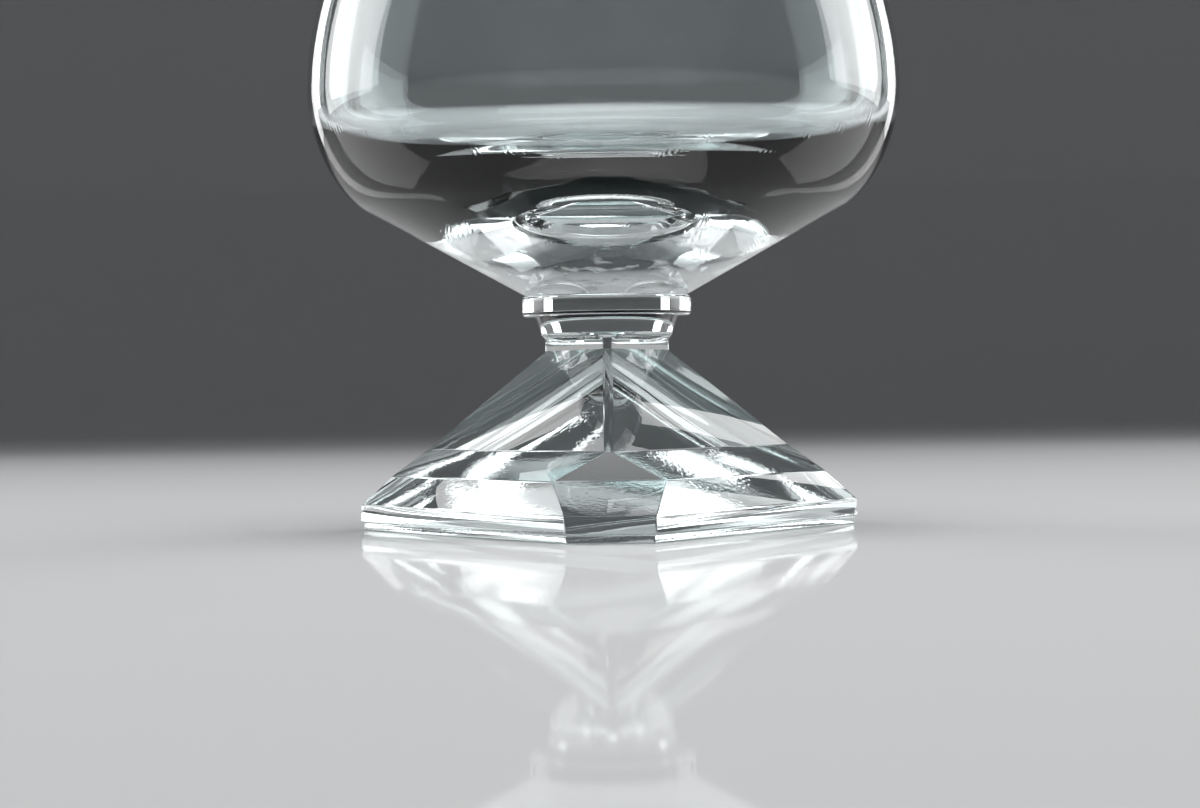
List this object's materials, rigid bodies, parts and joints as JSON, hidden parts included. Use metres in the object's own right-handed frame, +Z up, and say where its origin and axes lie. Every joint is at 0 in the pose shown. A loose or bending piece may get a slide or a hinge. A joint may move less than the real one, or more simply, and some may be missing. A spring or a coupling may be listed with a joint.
{
  "type": "whisky glass",
  "caption": "Footed whisky tasting glass with a tulip bowl, a collar disc, a short faceted stem and a solid pressed foot shaped as a triangular pyramid with cut corners.",
  "frame": {"origin": "centre of the flat face that the glass stands on, on the bowl's axis", "axes": "+Z up along the bowl's axis, -Y towards one cut corner of the foot"},
  "size_m": [0.0768, 0.0768, 0.1176],
  "materials": {
    "bowl_glass": "fire-polished clear blown glass",
    "disc_glass": "fire-polished clear glass",
    "stem_glass": "pressed clear glass with soft facets",
    "foot_glass": "pressed clear glass, lightly speckled on its rim"
  },
  "bodies": {
    "root": {"bowl": "bowl_glass", "merese_disc": "disc_glass", "stem_neck": "stem_glass", "foot": "foot_glass"}
  },
  "joints": []
}
